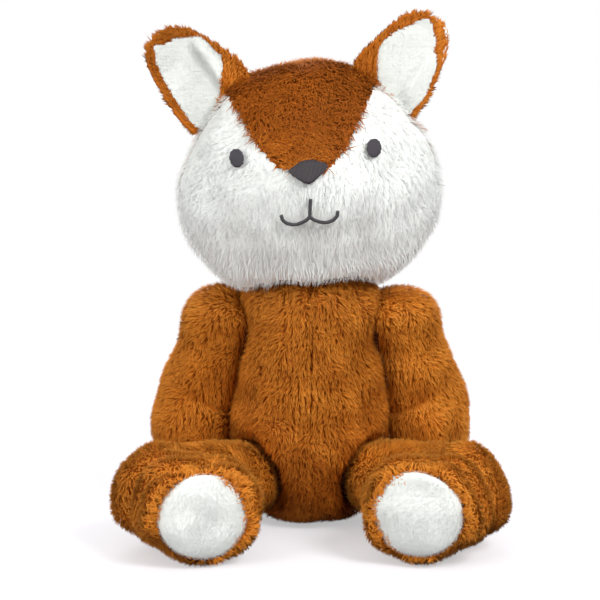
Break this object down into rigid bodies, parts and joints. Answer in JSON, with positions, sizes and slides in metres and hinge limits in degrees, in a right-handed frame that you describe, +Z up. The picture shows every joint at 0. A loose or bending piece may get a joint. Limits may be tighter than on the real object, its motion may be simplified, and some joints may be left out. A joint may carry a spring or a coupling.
{
  "type": "plush fox",
  "caption": "Seated soft-toy fox with a wide round head, cupped ears, embroidered face, long pile, hinged limbs, pale foot pads and a brush tail.",
  "frame": {"origin": "on the floor plane under the seat, in the middle of the toy's outline seen from above", "axes": "+Z up, -Y the way the fox faces, +X the fox's own left"},
  "size_m": [0.2244, 0.2452, 0.3072],
  "materials": {
    "rust_pile": "long rust-brown pile, matt, slightly glossy at the tips",
    "white_pile": "long off-white pile, matt",
    "short_white_plush": "short off-white plush, matt",
    "embroidery": "dark grey satin-stitch thread, slight sheen",
    "seam": "turned-in edge of rust-brown fabric, matt",
    "filling": "white polyester fibre, matt",
    "pellet_bag": "plain woven cotton, matt"
  },
  "bodies": {
    "torso": {"body_front_left": "rust_pile", "body_front_right": "rust_pile", "body_back_left": "rust_pile", "body_back_right": "rust_pile", "body_filling": "filling", "seat_pellet_bag": "pellet_bag"},
    "neck": {"neck_seam": "seam"},
    "head": {"head_filling": "filling", "head_crown": "rust_pile", "cheek_left": "white_pile", "cheek_right": "white_pile", "head_back_left": "rust_pile", "head_back_right": "rust_pile", "eye_left": "embroidery", "eye_right": "embroidery", "nose": "embroidery", "mouth_stitch": "embroidery"},
    "tail": {"tail_cover": "rust_pile", "tail_tip": "white_pile", "tail_filling": "filling"},
    "ear_left": {"ear_back_left": "rust_pile", "ear_lining_left": "short_white_plush"},
    "shoulder_left": {"shoulder_seam_left": "seam"},
    "arm_left": {"arm_cover_left": "rust_pile", "arm_filling_left": "filling"},
    "hip_left": {"hip_seam_left": "seam"},
    "leg_left": {"leg_cover_left": "rust_pile", "leg_filling_left": "filling", "foot_pad_left": "short_white_plush"},
    "ear_right": {"ear_back_right": "rust_pile", "ear_lining_right": "short_white_plush"},
    "shoulder_right": {"shoulder_seam_right": "seam"},
    "arm_right": {"arm_cover_right": "rust_pile", "arm_filling_right": "filling"},
    "hip_right": {"hip_seam_right": "seam"},
    "leg_right": {"leg_cover_right": "rust_pile", "leg_filling_right": "filling", "foot_pad_right": "short_white_plush"}
  },
  "joints": [
    {"name": "head_turn", "type": "hinge", "parent": "torso", "child": "neck", "pos_m": [0, -0.00549, 0.126], "axis": [0, 0, 1], "range_deg": [-25, 25], "stiffness_Nm_per_rad": 0.8},
    {"name": "head_nod", "type": "hinge", "parent": "neck", "child": "head", "pos_m": [0, -0.00549, 0.126], "axis": [1, 0, 0], "range_deg": [-12, 12], "stiffness_Nm_per_rad": 1.2},
    {"name": "ear_bend_left", "type": "hinge", "parent": "head", "child": "ear_left", "pos_m": [0.04435, -0.00149, 0.25931], "axis": [0.8211, 0, -0.5707], "range_deg": [-22, 22], "stiffness_Nm_per_rad": 0.03},
    {"name": "arm_swing_left", "type": "hinge", "parent": "torso", "child": "shoulder_left", "pos_m": [0.053, 0.00051, 0.119], "axis": [-0.995, 0, -0.0996], "range_deg": [-30, 0]},
    {"name": "arm_raise_left", "type": "hinge", "parent": "shoulder_left", "child": "arm_left", "pos_m": [0.053, 0.00051, 0.119], "axis": [-0.5736, -0.8192, 0], "range_deg": [0, 70]},
    {"name": "leg_spread_left", "type": "hinge", "parent": "torso", "child": "hip_left", "pos_m": [0.041, -0.02849, 0.03], "axis": [0, 0, 1], "range_deg": [-5, 3]},
    {"name": "leg_raise_left", "type": "hinge", "parent": "hip_left", "child": "leg_left", "pos_m": [0.041, -0.02849, 0.03], "axis": [-0.977, -0.2134, 0], "range_deg": [0, 15]},
    {"name": "ear_bend_right", "type": "hinge", "parent": "head", "child": "ear_right", "pos_m": [-0.05539, -0.00149, 0.25199], "axis": [0.729, 0, 0.6845], "range_deg": [-22, 22], "stiffness_Nm_per_rad": 0.03},
    {"name": "arm_swing_right", "type": "hinge", "parent": "torso", "child": "shoulder_right", "pos_m": [-0.053, 0.00051, 0.119], "axis": [-0.995, 0, 0.0996], "range_deg": [-30, 0]},
    {"name": "arm_raise_right", "type": "hinge", "parent": "shoulder_right", "child": "arm_right", "pos_m": [-0.053, 0.00051, 0.119], "axis": [-0.5736, 0.8192, 0], "range_deg": [0, 70]},
    {"name": "leg_spread_right", "type": "hinge", "parent": "torso", "child": "hip_right", "pos_m": [-0.041, -0.02849, 0.03], "axis": [0, 0, -1], "range_deg": [-5, 3]},
    {"name": "leg_raise_right", "type": "hinge", "parent": "hip_right", "child": "leg_right", "pos_m": [-0.041, -0.02849, 0.03], "axis": [-0.977, 0.2134, 0], "range_deg": [0, 15]},
    {"name": "tail_raise", "type": "hinge", "parent": "torso", "child": "tail", "pos_m": [0, 0.03951, 0.029], "axis": [1, 0, 0], "range_deg": [0, 25], "stiffness_Nm_per_rad": 0.08}
  ]
}
